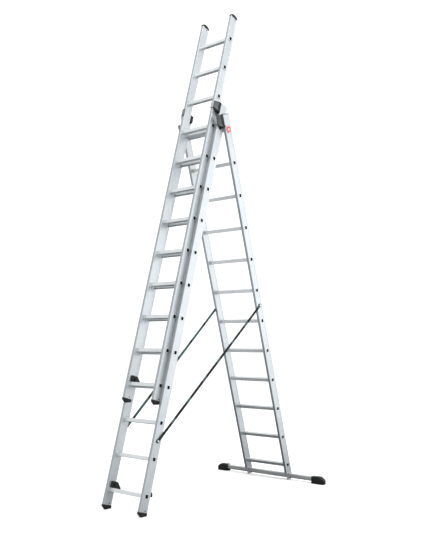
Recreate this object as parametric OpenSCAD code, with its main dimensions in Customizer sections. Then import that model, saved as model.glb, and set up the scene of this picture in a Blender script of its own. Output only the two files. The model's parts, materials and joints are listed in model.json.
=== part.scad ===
// Three-part combination ladder, standing as an A-frame with its sliding section raised.
// The front section carries the sliding section in guides on its climbing side.
// The rear section is bolted to the front section just above their top rungs, and folds.
// Origin: on the floor, at the middle of the footprint. +X runs along the rungs,
// +Y points from the climbing side to the rear section, +Z is up.

/* [Sections] */
// Rungs in each of the three sections
rung_count = 12; // [8:1:13]
// Distance from one rung to the next, along the stiles
rung_pitch = 280; // [270:1:290]
// Lean of each half of the A-frame from the vertical, in degrees
lean = 16.4; // [14:0.1:19]
// Half of the front section's outer width
front_half_w = 212; // [205:0.5:235]
// Gap between the stiles of the sliding and the front section, at each side
slide_gap = 12; // [11:0.5:14]
// Gap between the stiles of the front and the rear section, at each side
fold_gap = 9; // [8.5:0.1:11]
// Distance from the middle of one folded section to the middle of the next
nest = 57; // [56.5:0.5:62]
// Rungs by which the sliding section is raised
raised_rungs = 3; // [0:1:6]

/* [Stiles] */
// Depth of a stile, from the climbing side to the back
stile_d = 80; // [78:1:82]
// Thickness of a stile
stile_t = 25; // [24:0.5:27]
// Wall of the two narrow faces
flange_wall = 2; // [1.6:0.1:3]
// Wall of the two broad faces
web_wall = 1.3; // [1.1:0.1:1.8]
// Depth of the shallow channel along each broad face
channel_depth = 1.2; // [0.8:0.1:1.4]
// Width of that channel
channel_w = 54; // [44:1:56]
// Length of stile above the top rung, front section
front_head = 215; // [213:1:230]
// Length of stile above the top rung, sliding section
sliding_head = 208; // [195:1:222]
// Length of stile above the top rung, rear section
rear_head = 125; // [120:1:130]
// Length of stile below the lowest rung, front and sliding sections
stile_tail = 119; // [115:1:124]

/* [Rungs] */
// Side of the square rung tube
rung_w = 30; // [28:0.5:31]
// Wall of the rung tube
rung_wall = 1.5; // [1.3:0.1:2]
// Flutes on the tread of a rung
flute_count = 5; // [3:1:6]
// Side of the rim that locks a rung into its stile
rim_w = 36; // [35:0.5:38]

/* [Hinge] */
// Height of the hinge bolt above the top rungs
hinge_up = 30; // [28:1:36]
// Radius of the hinge bolt
hinge_r = 5; // [4.5:0.5:6]
// Radial running clearance of the hinge bolt in the rear stile
hinge_fit = 0.05; // [0.02:0.01:0.1]

/* [Feet, caps and hooks] */
// Distance from the lowest rung to the lowest edge of a foot
foot_drop = 155; // [150:1:160]
// Height of a top cap at its middle
cap_h = 27; // [24:1:31]
// Thickness of a hook, along the rungs
hook_t = 18; // [14:1:20]
// Height of a hook above the middle of the rung under it
hook_top = 68; // [60:1:72]

/* [Crossbar] */
// Overall length of the crossbar with its end shoes
bar_len = 1260; // [1000:5:1400]
// Height of the crossbar tube
bar_h = 42; // [38:1:46]
// Depth of the crossbar tube
bar_d = 30; // [28:1:34]
// Clear height under the crossbar tube
bar_lift = 20; // [19:1:24]
// Length of each end shoe
shoe_len = 135; // [110:1:160]

/* [Restraint straps] */
// Width of the webbing
strap_w = 25; // [20:1:28]
// Thickness of the webbing
strap_t = 2.5; // [2:0.1:3]
// Place of the front fixing, in rung spaces below the top rung
strap_front_at = 9.5; // [7.5:1:9.5]
// Place of the rear fixing, in rung spaces below the top rung
strap_rear_at = 5.5; // [3.5:1:6.5]

/* [Hidden] */
$fn = 48;

left = -1;
right = 1;
sides = [left, right];

// Colours
aluminium = [0.80, 0.83, 0.86];
black_plastic = [0.10, 0.11, 0.10];
grey_plastic = [0.38, 0.41, 0.42];
steel = [0.62, 0.63, 0.64];
badge_red = [0.86, 0.25, 0.24];
webbing = [0.16, 0.24, 0.24];

// Widths of the other two sections
sliding_half_w = front_half_w - stile_t - slide_gap;
rear_half_w = front_half_w + stile_t + fold_gap;

// Lengths along the stiles, measured from the top rung of a section
rung_span = (rung_count - 1) * rung_pitch;
foot_ridge_y = -8;
overhang = 1;

// Height of the top rungs of the front and rear sections
top_z = (rung_span + foot_drop) * cos(lean) + foot_ridge_y * sin(lean);

// Distance between those two rungs, along Y. The hinge bolt is midway between them.
top_spread = nest * cos(lean) + 2 * hinge_up * sin(lean);

// The crossbar lies under the rear stiles, a little behind their centre plane
bar_back = 7;
bar_z = bar_lift + bar_h / 2;
bar_reach = top_spread + (top_z - bar_z) * tan(lean) + bar_back;
shoe_wall = 5;
shoe_d = bar_d + 4 * shoe_wall;

// The front foot's toe and the back of the shoes are the two ends of the footprint
toe_h = 14;
toe_y = -(stile_d / 2 + overhang);
toe_reach = -toe_y * cos(lean) + (rung_span + stile_tail + toe_h) * sin(lean);
front_top_y = (toe_reach - bar_reach - shoe_d / 2) / 2;
rear_top_y = front_top_y + top_spread;
bar_y = front_top_y + bar_reach;

// Small fits and fasteners
touch_gap = 0.3;
slot_fit = 0.1;
rivet_r = 2.4;
screw_r = 3;
bolt_r = 4;
rim_proud = 1;
sliding_rim_proud = 5;
bead_len = 3;
bead_w = rung_w + 3;
saddle_wall = 4;
eye_r = 17;

// Places the children, drawn from the front section's top rung down, where that section stands
module in_front() {
    translate([0, front_top_y, top_z]) rotate([-lean, 0, 0]) children();
}

// The same for the sliding section, raised along the front section
module in_sliding() {
    in_front() translate([0, -nest, raised_rungs * rung_pitch]) children();
}

// The same for the rear section
module in_rear() {
    translate([0, rear_top_y, top_z]) rotate([lean, 0, 0]) children();
}

// Mirrors a piece drawn for the right side
module on_side(side) {
    mirror([side == left ? 1 : 0, 0, 0]) children();
}

// A pin along X, from x0 to x1
module x_pin(x0, x1, r, y, z) {
    translate([x0, y, z]) rotate([0, 90, 0]) cylinder(h = x1 - x0, r = r);
}

// A prism along X whose outline is drawn in Y and Z
module x_prism(x0, x1) {
    translate([x0, 0, 0]) rotate([90, 0, 90]) linear_extrude(height = x1 - x0) children();
}

module rounded_rect(w, h, r) {
    square([w - 2 * r, h], center = true);
    square([w, h - 2 * r], center = true);
    for (i = [-1, 1], j = [-1, 1])
        translate([i * (w / 2 - r), j * (h / 2 - r)]) circle(r = r);
}

// ---- Stiles ----

// Cross-section of a stile: a box tube with a shallow channel along each broad face
module stile_profile() {
    slope = 1.5;
    difference() {
        rounded_rect(stile_t, stile_d, 2.5);
        for (side = sides)
            polygon([
                [side * stile_t, channel_w / 2 + slope],
                [side * stile_t / 2, channel_w / 2 + slope],
                [side * (stile_t / 2 - channel_depth), channel_w / 2],
                [side * (stile_t / 2 - channel_depth), -channel_w / 2],
                [side * stile_t / 2, -channel_w / 2 - slope],
                [side * stile_t, -channel_w / 2 - slope]
            ]);
        square([stile_t - 2 * (channel_depth + web_wall), stile_d - 2 * flange_wall], center = true);
        for (side = sides)
            translate([0, side * (stile_d + channel_w) / 4])
                square(
                    [stile_t - 2 * (web_wall + 0.4), (stile_d - channel_w) / 2 - flange_wall - 4],
                    center = true
                );
    }
}

// One stile with its rung openings, on the right-hand side
module stile(half_w, head, tail) {
    opening = rung_w + 2 * slot_fit;
    translate([half_w - stile_t / 2, 0, 0])
        difference() {
            translate([0, 0, -rung_span - tail])
                linear_extrude(height = rung_span + tail + head)
                    stile_profile();
            for (i = [0 : rung_count - 1])
                translate([0, 0, -i * rung_pitch])
                    cube([stile_t + 2, opening, opening], center = true);
        }
}

// ---- Rungs ----

// Cross-section of a rung, with its tread at +Y of the drawing
module rung_profile() {
    flute_w = 1.6;
    flute_pitch = (rung_w - 8) / flute_count;
    difference() {
        rounded_rect(rung_w, rung_w, 3);
        rounded_rect(rung_w - 2 * rung_wall, rung_w - 2 * rung_wall, 1.6);
        for (i = [0 : flute_count - 1], side = sides)
            translate([(i - (flute_count - 1) / 2) * flute_pitch, side * rung_w / 2])
                square([flute_w, 1.2], center = true);
    }
}

// A square frame that fits round the rung tube
module rung_ring(outer) {
    inner = rung_w - 2 * rung_wall;
    difference() {
        rounded_rect(outer, outer, 4);
        square(inner, center = true);
    }
}

// One rung: the tube, an outer rim and an inner bead at each end
module rung(half_w, proud) {
    rim_x = half_w - channel_depth;
    bead_x = half_w - stile_t + channel_depth;
    x_prism(-rim_x, rim_x) rung_profile();
    for (side = sides)
        on_side(side) {
            x_prism(rim_x, half_w + proud) rung_ring(rim_w);
            x_prism(bead_x - bead_len, bead_x) rung_ring(bead_w);
        }
}

module rungs(half_w, proud) {
    for (i = [0 : rung_count - 1])
        translate([0, 0, -i * rung_pitch]) rung(half_w, proud);
}

// ---- Feet and top caps ----

rivet_y = 14;
rivet_up = 13;
plug_h = 30;
plug_t = stile_t - 2 * (channel_depth + web_wall) - 0.4;
plug_d = stile_d - 2 * flange_wall - 6;

// Outline of a foot below the end of its stile. The back of the sole lies level on the floor.
module foot_outline() {
    edge = stile_d / 2 + overhang;
    sole = foot_drop - stile_tail;
    heel_rise = (edge - 5 - foot_ridge_y) * tan(lean);
    polygon([
        [-edge, 0], [edge, 0], [edge, -sole + heel_rise + 4], [edge - 5, -sole + heel_rise],
        [foot_ridge_y, -sole], [-edge, -toe_h]
    ]);
}

// One foot, plugged into the end of its stile
module foot(half_w) {
    x0 = half_w - stile_t - overhang / 2;
    x1 = half_w + overhang / 2;
    mid = half_w - stile_t / 2;
    translate([0, 0, -rung_span - stile_tail])
        difference() {
            union() {
                x_prism(x0, x1) foot_outline();
                translate([mid - plug_t / 2, -plug_d / 2, 0]) cube([plug_t, plug_d, plug_h]);
            }
            x_pin(x0 - 1, x1 + 1, rivet_r + slot_fit, rivet_y, rivet_up);
            translate([mid - plug_t / 2 + 3, -plug_d / 2 + 3, 4]) cube([plug_t - 6, plug_d - 6, plug_h]);
        }
}

// The guide lug on a sliding foot runs in the gap beside the front stile
module foot_lug(half_w) {
    lug_t = 7;
    x_prism(half_w + overhang / 2, half_w + lug_t)
        translate([stile_d / 2 - 6, -rung_span - stile_tail - 15])
            square([8, 15]);
}

// One top cap: a low dome over the end of the stile
module cap(half_w) {
    edge = stile_d / 2 + overhang / 2;
    rim = 13;
    rise = cap_h - rim;
    dome_r = (edge * edge + rise * rise) / (2 * rise);
    x0 = half_w - stile_t - overhang / 2;
    x1 = half_w + overhang / 2;
    mid = half_w - stile_t / 2;
    translate([0, 0, sliding_head])
        difference() {
            union() {
                x_prism(x0, x1)
                    intersection() {
                        translate([-edge, 0]) square([2 * edge, cap_h]);
                        translate([0, cap_h - dome_r]) circle(r = dome_r, $fn = 160);
                    }
                translate([mid - plug_t / 2, -plug_d / 2, -plug_h]) cube([plug_t, plug_d, plug_h]);
            }
            x_pin(x0 - 1, x1 + 1, rivet_r + slot_fit, rivet_y, -rivet_up);
            translate([mid - plug_t / 2 + 3, -plug_d / 2 + 3, -plug_h - 4])
                cube([plug_t - 6, plug_d - 6, plug_h]);
        }
}

// Flat cap pushed into the top of a rear stile
flat_cap_t = 5;
flat_plug_h = 8;

module flat_cap(half_w, head) {
    mid = half_w - stile_t / 2;
    translate([0, 0, head]) {
        x_prism(half_w - stile_t, half_w)
            translate([-stile_d / 2, 0]) square([stile_d, flat_cap_t]);
        translate([mid - plug_t / 2, -plug_d / 2, -flat_plug_h])
            cube([plug_t, plug_d, flat_plug_h + 1]);
    }
}

// Through rivet of a foot or a sliding cap, with a domed head at each broad face
module stile_rivet(half_w, y, z) {
    x0 = half_w - stile_t + channel_depth;
    x1 = half_w - channel_depth;
    x_pin(x0 - 1, x1 + 1, rivet_r, y, z);
    x_pin(x0 - 1.6, x0, rivet_r + 2, y, z);
    x_pin(x1, x1 + 1.6, rivet_r + 2, y, z);
}

module stile_rivet_hole(half_w, y, z) {
    x_pin(half_w - stile_t - 5, half_w + 5, rivet_r + slot_fit, y, z);
}

foot_rivet_z = -rung_span - stile_tail + rivet_up;
cap_rivet_z = sliding_head - rivet_up;

// ---- Hooks ----

// A hook is fixed inside the stile just above the lowest rung. It reaches back over the rung
// of the next section, which it rests on, and turns down behind it.
hook_rivets = [[-2, 34], [24, 42]];
mouth_back = nest + rung_w / 2 + 2;
jaw_t = 12;
jaw_low = 1;

module hook_outline() {
    seat = rung_w / 2 + touch_gap;
    shelf = bead_w / 2 + touch_gap + 0.4;
    back = mouth_back + jaw_t;
    polygon([
        [-14, shelf], [stile_d / 2, shelf], [stile_d / 2 + 1.5, seat], [mouth_back, seat],
        [mouth_back, jaw_low + 3], [mouth_back + 3, jaw_low], [back - 3, jaw_low],
        [back, jaw_low + 5], [back - 2, 24], [stile_d / 2 + 6, hook_top - 4],
        [stile_d / 2, hook_top], [-11, hook_top], [-14, hook_top - 3]
    ]);
}

module hook(half_w) {
    x1 = half_w - stile_t;
    translate([0, 0, -rung_span])
        difference() {
            union() {
                x_prism(x1 - hook_t, x1) hook_outline();
                // boss that fills the channel of the stile
                x_prism(x1, x1 + channel_depth) translate([-12, 24]) square([36, 26]);
            }
            for (at = hook_rivets)
                x_pin(x1 - hook_t - 1, x1 + channel_depth + 1, rivet_r + slot_fit, at[0], at[1]);
            // pocket that lightens the body
            x_prism(x1 - hook_t - 1, x1 - 6)
                translate([4, 24]) square([12, 24]);
        }
}

module hook_rivet(half_w, at) {
    x1 = half_w - stile_t;
    inside = x1 + channel_depth + web_wall;
    translate([0, 0, -rung_span]) {
        x_pin(x1 - hook_t, inside, rivet_r, at[0], at[1]);
        x_pin(x1 - hook_t - 1.8, x1 - hook_t, rivet_r + 2.2, at[0], at[1]);
        x_pin(inside, inside + 2, rivet_r + 1.4, at[0], at[1]);
    }
}

module hook_rivet_holes(half_w) {
    for (at = hook_rivets)
        x_pin(half_w - stile_t - 1, half_w - stile_t + 5, rivet_r + slot_fit, at[0], at[1] - rung_span);
}

// ---- Guides ----

// The same casting stands at the top of the front and the rear section. Its block fills the
// corner in front of its own stile, and its lip reaches round the front of the section inside.
front_guide_low = 127;
front_guide_high = 212;
rear_guide_low = hinge_up - 10;
rear_guide_high = rear_head - 1;
lip_t = 4;
lip_gap = 1.5;
runner_gap = 2;
flange_t = 5;
flange_back = -6;
guide_front = -(nest + stile_d / 2 + lip_gap + lip_t);

// Plan of a guide on a section of half width w, with the given gap to the section inside
module guide_plan(w, gap) {
    own_face = w - stile_t;
    guest = own_face - gap;
    edge = -stile_d / 2;
    relief = own_face - 2;
    relief_front = -nest - rim_w / 2 - 1;
    polygon([
        [guest - stile_t - 0.5, guide_front], [guest + runner_gap + 4, guide_front],
        [w - 0.5, guide_front + 40], [w - 0.5, edge], [own_face, edge],
        [own_face, flange_back], [own_face - flange_t, flange_back],
        [own_face - flange_t, edge + 1], [relief, edge + 1], [relief, relief_front],
        [guest + runner_gap, relief_front], [guest + runner_gap, guide_front + lip_t],
        [guest - stile_t - 0.5, guide_front + lip_t]
    ]);
}

// Grooves between the ribs on the slanting face of the block
module guide_grooves(w, gap) {
    groove_count = 5;
    start = [w - stile_t - gap + runner_gap + 4, guide_front];
    end = [w - 0.5, guide_front + 40];
    run = end - start;
    translate(start)
        rotate(atan2(run[1], run[0]))
            for (i = [1 : groove_count])
                translate([i * norm(run) / (groove_count + 1), 0])
                    square([3.4, 4], center = true);
}

// Side view of the block, whose lower edge slopes up to the lip
module guide_side(low, high, flange_low) {
    edge = -stile_d / 2 + 1;
    polygon([
        [guide_front - 1, high], [guide_front - 1, low + 24], [-nest - 4, low],
        [edge, low], [edge, flange_low], [20, flange_low], [20, high]
    ]);
}

module guide_block(w, gap, low, high, flange_low) {
    difference() {
        intersection() {
            translate([0, 0, low]) linear_extrude(height = high - low) guide_plan(w, gap);
            x_prism(0, 2 * w) guide_side(low, high, flange_low);
        }
        translate([0, 0, low + 26])
            linear_extrude(height = high - low - 34)
                guide_grooves(w, gap);
    }
}

// Places of the flange screws in Y and Z
front_guide_screws = [[-27, 141], [-27, 198]];
rear_guide_screws = [[-27, 72], [-27, 110]];

module flange_screw_holes(w, places) {
    for (at = places)
        x_pin(w - stile_t - 6, w - stile_t + 6, screw_r + slot_fit, at[0], at[1]);
}

module flange_screw(w, at) {
    inside = w - stile_t + channel_depth + web_wall + 0.4;
    face = w - stile_t - flange_t;
    x_pin(face, inside, screw_r, at[0], at[1]);
    x_pin(face - 0.8, face, screw_r + 2.6, at[0], at[1]);
    x_pin(inside, inside + 3, screw_r + 2.2, at[0], at[1]);
}

// Guide at the top of the front section, with a pad behind the sliding stile
module front_guide() {
    pad_front = stile_d / 2 - nest + lip_gap;
    face = front_half_w - stile_t;
    difference() {
        union() {
            guide_block(
                front_half_w, slide_gap, front_guide_low, front_guide_high, front_guide_low
            );
            translate([face - 24, pad_front, front_guide_high - 70]) cube([24, 44, 62]);
        }
        flange_screw_holes(front_half_w, front_guide_screws);
    }
}

// Guide at the top of the rear section. Its lip starts above the swing of the front stile.
module rear_guide() {
    lip_low = hinge_up + 27;
    lip_end = front_half_w + runner_gap;
    own_face = rear_half_w - stile_t;
    difference() {
        guide_block(rear_half_w, fold_gap, rear_guide_low, rear_guide_high, rear_guide_low);
        translate([lip_end - 60, guide_front - 1, rear_guide_low - 1])
            cube([60, lip_t + 2, lip_low - rear_guide_low + 1]);
        // room for the hinge spacer
        translate([own_face - 10, -nest - rim_w / 2, rear_guide_low - 1])
            cube([10, nest + rim_w, hinge_up + spacer_r + 2 - rear_guide_low]);
        flange_screw_holes(rear_half_w, rear_guide_screws);
    }
}

// ---- Hinge ----

spacer_r = 18;
seat_r = hinge_r + 4;
rim_clear = bead_len - channel_depth + 0.5;

// Bolt through the front and the rear stile, with its washer and head outside
module hinge_bolt() {
    start = front_half_w - stile_t - 10;
    head = rear_half_w + 0.5;
    x_pin(start, head, hinge_r, nest / 2, hinge_up);
    x_pin(head, head + 1.6, hinge_r + 4.5, nest / 2, hinge_up);
    translate([head + 1.6, nest / 2, hinge_up])
        rotate([0, 90, 0])
            cylinder(h = 6.4, r = 1.85 * hinge_r, $fn = 6);
}

// Disc that keeps the two stiles apart. It bears on them by narrow seats, clear of the rungs' rims.
module hinge_spacer() {
    far_side = front_half_w + fold_gap;
    difference() {
        union() {
            x_pin(front_half_w, far_side - touch_gap, seat_r, nest / 2, hinge_up);
            x_pin(front_half_w + rim_proud + 0.5, far_side - rim_clear, spacer_r, nest / 2, hinge_up);
        }
        x_pin(front_half_w - 1, far_side, hinge_r + slot_fit, nest / 2, hinge_up);
    }
}

module hinge_nut() {
    face = front_half_w - stile_t;
    difference() {
        translate([face - 8, nest / 2, hinge_up])
            rotate([0, 90, 0])
                cylinder(h = 8, r = 1.85 * hinge_r, $fn = 6);
        x_pin(face - 9, face + 1, hinge_r + slot_fit, nest / 2, hinge_up);
    }
}

module front_hinge_hole() {
    x_pin(front_half_w - stile_t - 1, front_half_w + 1, hinge_r + slot_fit, nest / 2, hinge_up);
}

module rear_hinge_hole() {
    x_pin(rear_half_w - stile_t - 1, rear_half_w + 1, hinge_r + hinge_fit, -nest / 2, hinge_up);
}

// ---- Crossbar ----

bar_half = bar_len / 2;
bar_r = 9;
tube_half = bar_half - 60;

module bar_profile() {
    wall = 2;
    difference() {
        rounded_rect(bar_d, bar_h, bar_r);
        rounded_rect(bar_d - 2 * wall, bar_h - 2 * wall, bar_r - wall);
        // a fine line along the front and the back of the tube
        for (side = sides)
            translate([side * bar_d / 2, 3]) square([1.2, 2], center = true);
    }
}

// Side view of an end shoe: flat sole, sloping back, rounded toe
module shoe_side() {
    top = bar_lift + bar_h + shoe_wall;
    inner = bar_half - shoe_len;
    toe_r = 21;
    toe = [bar_half - toe_r, toe_r];
    crest = [bar_half - 50, top];
    rise = crest - toe;
    // direction from the toe's centre to where the sloping back meets it
    turn = atan2(rise[1], rise[0]) - acos(toe_r / norm(rise));
    difference() {
        union() {
            polygon([
                [inner, 3], [inner + 3, 0], [toe[0], 0], toe,
                toe + toe_r * [cos(turn), sin(turn)], crest, [inner + 6, top], [inner, top - 6]
            ]);
            translate(toe) circle(r = toe_r);
        }
        // step under the sole, so that it stands on its two ends
        translate([inner + 42, -1]) square([shoe_len - 100, 3]);
    }
}

// End shoe of the crossbar
module shoe() {
    plan_r = shoe_d / 2 - 2;
    inner = bar_half - shoe_len;
    difference() {
        intersection() {
            translate([0, shoe_d / 2, 0])
                rotate([90, 0, 0])
                    linear_extrude(height = shoe_d)
                        shoe_side();
            linear_extrude(height = 2 * bar_h + bar_lift)
                translate([inner + shoe_len / 2 - plan_r, 0])
                    rounded_rect(shoe_len + 2 * plan_r, shoe_d, plan_r);
        }
        translate([inner - 1, 0, bar_z])
            rotate([90, 0, 90])
                linear_extrude(height = tube_half + 1.3 - inner)
                    rounded_rect(bar_d + 2 * slot_fit, bar_h + 2 * slot_fit, bar_r);
        shoe_screw_hole();
    }
}

// The screw goes down through the top of the shoe and of the crossbar inside it
shoe_screw_x = bar_half - shoe_len + 30;
shoe_screw_tip = bar_lift + bar_h - 6;

module shoe_screw_hole() {
    translate([shoe_screw_x, 0, shoe_screw_tip - 2]) cylinder(h = 30, r = rivet_r + slot_fit);
}

module shoe_screw() {
    top = bar_lift + bar_h + shoe_wall;
    translate([shoe_screw_x, 0, 0]) {
        translate([0, 0, shoe_screw_tip]) cylinder(h = top - shoe_screw_tip, r = rivet_r);
        translate([0, 0, top]) cylinder(h = 1.6, r1 = rivet_r + 2.2, r2 = rivet_r + 0.8);
    }
}

saddle_mid = rear_half_w - stile_t / 2;
saddle_w = 34;
lug_z = 13;
lug_r = 10;
saddle_top = bar_lift + bar_h + saddle_wall;

// Seat of the rear stile on its saddle, in front of the middle of the crossbar
seat_back = bar_back + (saddle_top - bar_z) * tan(lean);
seat_d = stile_d / cos(lean) + 3;

// One cheek of a saddle, drawn in X and Z
module saddle_cheek() {
    difference() {
        union() {
            translate([-saddle_w / 2, bar_lift]) square([saddle_w, bar_h + saddle_wall]);
            translate([0, lug_z]) circle(r = lug_r);
            translate([-lug_r, lug_z]) square([2 * lug_r, bar_lift - lug_z + 1]);
        }
        translate([0, lug_z]) circle(r = bolt_r + slot_fit);
    }
}

// The rear stiles and their sockets are drawn longer than they are, then cut level at the saddle
uncut_tail = 200;
socket_top = 52;

// Saddle over the crossbar, with a socket that stands in the end of the rear stile
module saddle() {
    depth = bar_d + 2 * saddle_wall;
    translate([saddle_mid, bar_y, 0]) {
        for (side = sides)
            translate([0, side * (bar_d + saddle_wall) / 2 + saddle_wall / 2, 0])
                rotate([90, 0, 0])
                    linear_extrude(height = saddle_wall)
                        saddle_cheek();
        translate([-saddle_w / 2, -depth / 2, saddle_top - saddle_wall])
            cube([saddle_w, depth, saddle_wall]);
        translate([-stile_t / 2, -seat_back - seat_d / 2, saddle_top - saddle_wall])
            cube([stile_t, seat_d, saddle_wall]);
    }
    intersection() {
        in_rear()
            translate([saddle_mid - plug_t / 2, -plug_d / 2, -rung_span - uncut_tail])
                cube([plug_t, plug_d, uncut_tail - socket_top]);
        translate([0, bar_y - bar_len / 2, saddle_top - 0.5]) cube([bar_len, bar_len, bar_len]);
    }
}

// Bolt under the crossbar that closes a saddle
module saddle_bolt() {
    reach = bar_d / 2 + saddle_wall;
    translate([saddle_mid, bar_y, lug_z])
        rotate([90, 0, 0]) {
            translate([0, 0, -reach]) cylinder(h = 2 * reach, r = bolt_r);
            translate([0, 0, reach]) cylinder(h = 5, r = 7, $fn = 6);
            translate([0, 0, -reach - 6]) cylinder(h = 6, r = 7, $fn = 6);
        }
}

// Cross bolt that holds the rear stile on its socket
socket_bolt_z = -rung_span - 72;

module socket_bolt() {
    stile_rivet(rear_half_w, 0, socket_bolt_z);
}

// ---- Badge ----

badge_r = 30;

// Plain round badge that covers the end of the rear section's top rung
module badge_disc() {
    x0 = rear_half_w - channel_depth;
    x1 = rear_half_w + 3.2;
    difference() {
        union() {
            x_pin(rear_half_w, x1, badge_r, 0, 0);
            x_prism(x0, rear_half_w) square(48, center = true);
        }
        x_prism(x0 - 1, rear_half_w + rim_proud + touch_gap)
            square(rim_w + 1, center = true);
    }
}

// ---- Restraint straps ----

strap_front_z = -strap_front_at * rung_pitch;
strap_rear_z = -strap_rear_at * rung_pitch;
strap_stand = 2.6;

// Ends of a strap on the right-hand side, in the ladder's own frame
strap_a = [
    front_half_w + strap_stand,
    front_top_y + strap_front_z * sin(lean),
    top_z + strap_front_z * cos(lean)
];
strap_b = [
    rear_half_w + strap_stand,
    rear_top_y - strap_rear_z * sin(lean),
    top_z + strap_rear_z * cos(lean)
];
strap_run = strap_b - strap_a;
strap_len = norm(strap_run);
strap_tilt = atan2(strap_run[1], strap_run[2]);
strap_splay = asin(strap_run[0] / strap_len);

// Flat outline of a strap, with an eye at each end
module strap_outline() {
    difference() {
        union() {
            translate([-strap_w / 2, 0]) square([strap_w, strap_len]);
            circle(r = eye_r);
            translate([0, strap_len]) circle(r = eye_r);
        }
        circle(r = bolt_r + 1.2);
        translate([0, strap_len]) circle(r = bolt_r + 1.2);
    }
}

module strap() {
    translate(strap_a)
        rotate([-strap_tilt, 0, 0])
            rotate([0, strap_splay, 0])
                translate([-strap_t / 2, 0, 0])
                    rotate([90, 0, 90])
                        linear_extrude(height = strap_t)
                            strap_outline();
}

// Shoulder bolt that holds a strap's eye on a stile of half width w
module strap_bolt(w, z) {
    inside = w - channel_depth - web_wall;
    eye_out = w + strap_stand + strap_t / 2 + 0.7;
    x_pin(inside, eye_out, bolt_r, 0, z);
    x_pin(inside - 4, inside, bolt_r + 3, 0, z);
    x_pin(w - channel_depth, w + strap_stand - strap_t / 2 - 0.7, bolt_r + 3, 0, z);
    x_pin(eye_out, eye_out + 2.5, bolt_r + 5, 0, z);
}

module strap_bolt_hole(w, z) {
    x_pin(w - 6, w + 5, bolt_r + slot_fit, 0, z);
}

// ---- Front section ----

module front_stile(side) {
    color(aluminium)
        in_front()
            on_side(side)
                difference() {
                    stile(front_half_w, front_head, stile_tail);
                    stile_rivet_hole(front_half_w, rivet_y, foot_rivet_z);
                    hook_rivet_holes(front_half_w);
                    flange_screw_holes(front_half_w, front_guide_screws);
                    front_hinge_hole();
                    strap_bolt_hole(front_half_w, strap_front_z);
                }
}

module front_stile_left() { front_stile(left); }
module front_stile_right() { front_stile(right); }

module front_rungs() {
    color(aluminium) in_front() rungs(front_half_w, rim_proud);
}

module front_foot(side) {
    color(black_plastic) in_front() on_side(side) foot(front_half_w);
}

module front_foot_left() { front_foot(left); }
module front_foot_right() { front_foot(right); }

module front_foot_rivets() {
    color(black_plastic)
        in_front()
            for (side = sides)
                on_side(side) stile_rivet(front_half_w, rivet_y, foot_rivet_z);
}

module front_hook(side) {
    color(black_plastic) in_front() on_side(side) hook(front_half_w);
}

module front_hook_left() { front_hook(left); }
module front_hook_right() { front_hook(right); }

module front_hook_rivets() {
    color(black_plastic)
        in_front()
            for (side = sides, at = hook_rivets)
                on_side(side) hook_rivet(front_half_w, at);
}

module front_guide_left() {
    color(grey_plastic) in_front() on_side(left) front_guide();
}

module front_guide_right() {
    color(grey_plastic) in_front() on_side(right) front_guide();
}

module front_guide_screws() {
    color(steel)
        in_front()
            for (side = sides, at = front_guide_screws)
                on_side(side) flange_screw(front_half_w, at);
}

module hinge_bolt_left() {
    color(steel) in_front() on_side(left) hinge_bolt();
}

module hinge_bolt_right() {
    color(steel) in_front() on_side(right) hinge_bolt();
}

module hinge_spacers() {
    color(black_plastic) in_front() for (side = sides) on_side(side) hinge_spacer();
}

module hinge_nuts() {
    color(steel) in_front() for (side = sides) on_side(side) hinge_nut();
}

module strap_bolts_front() {
    color(steel)
        in_front()
            for (side = sides)
                on_side(side) strap_bolt(front_half_w, strap_front_z);
}

// ---- Sliding section ----

module sliding_stile(side) {
    color(aluminium)
        in_sliding()
            on_side(side)
                difference() {
                    stile(sliding_half_w, sliding_head, stile_tail);
                    stile_rivet_hole(sliding_half_w, rivet_y, foot_rivet_z);
                    stile_rivet_hole(sliding_half_w, rivet_y, cap_rivet_z);
                    hook_rivet_holes(sliding_half_w);
                }
}

module sliding_stile_left() { sliding_stile(left); }
module sliding_stile_right() { sliding_stile(right); }

module sliding_rungs() {
    color(aluminium) in_sliding() rungs(sliding_half_w, sliding_rim_proud);
}

module sliding_foot(side) {
    color(black_plastic)
        in_sliding()
            on_side(side) {
                foot(sliding_half_w);
                foot_lug(sliding_half_w);
            }
}

module sliding_foot_left() { sliding_foot(left); }
module sliding_foot_right() { sliding_foot(right); }

module sliding_foot_rivets() {
    color(black_plastic)
        in_sliding()
            for (side = sides)
                on_side(side) stile_rivet(sliding_half_w, rivet_y, foot_rivet_z);
}

module sliding_cap_left() {
    color(black_plastic) in_sliding() on_side(left) cap(sliding_half_w);
}

module sliding_cap_right() {
    color(black_plastic) in_sliding() on_side(right) cap(sliding_half_w);
}

module sliding_cap_rivets() {
    color(black_plastic)
        in_sliding()
            for (side = sides)
                on_side(side) stile_rivet(sliding_half_w, rivet_y, cap_rivet_z);
}

module sliding_hook(side) {
    color(black_plastic) in_sliding() on_side(side) hook(sliding_half_w);
}

module sliding_hook_left() { sliding_hook(left); }
module sliding_hook_right() { sliding_hook(right); }

module sliding_hook_rivets() {
    color(black_plastic)
        in_sliding()
            for (side = sides, at = hook_rivets)
                on_side(side) hook_rivet(sliding_half_w, at);
}

// ---- Rear section ----

module rear_stile(side) {
    color(aluminium)
        on_side(side)
            intersection() {
                in_rear()
                    difference() {
                        stile(rear_half_w, rear_head, uncut_tail);
                        flange_screw_holes(rear_half_w, rear_guide_screws);
                        rear_hinge_hole();
                        strap_bolt_hole(rear_half_w, strap_rear_z);
                        stile_rivet_hole(rear_half_w, 0, socket_bolt_z);
                    }
                // the lower end is cut level, to stand on its saddle
                translate([0, -2 * rung_span, saddle_top])
                    cube([2 * rear_half_w, 4 * rung_span, 2 * rung_span]);
            }
}

module rear_stile_left() { rear_stile(left); }
module rear_stile_right() { rear_stile(right); }

module rear_rungs() {
    color(aluminium) in_rear() rungs(rear_half_w, rim_proud);
}

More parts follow.
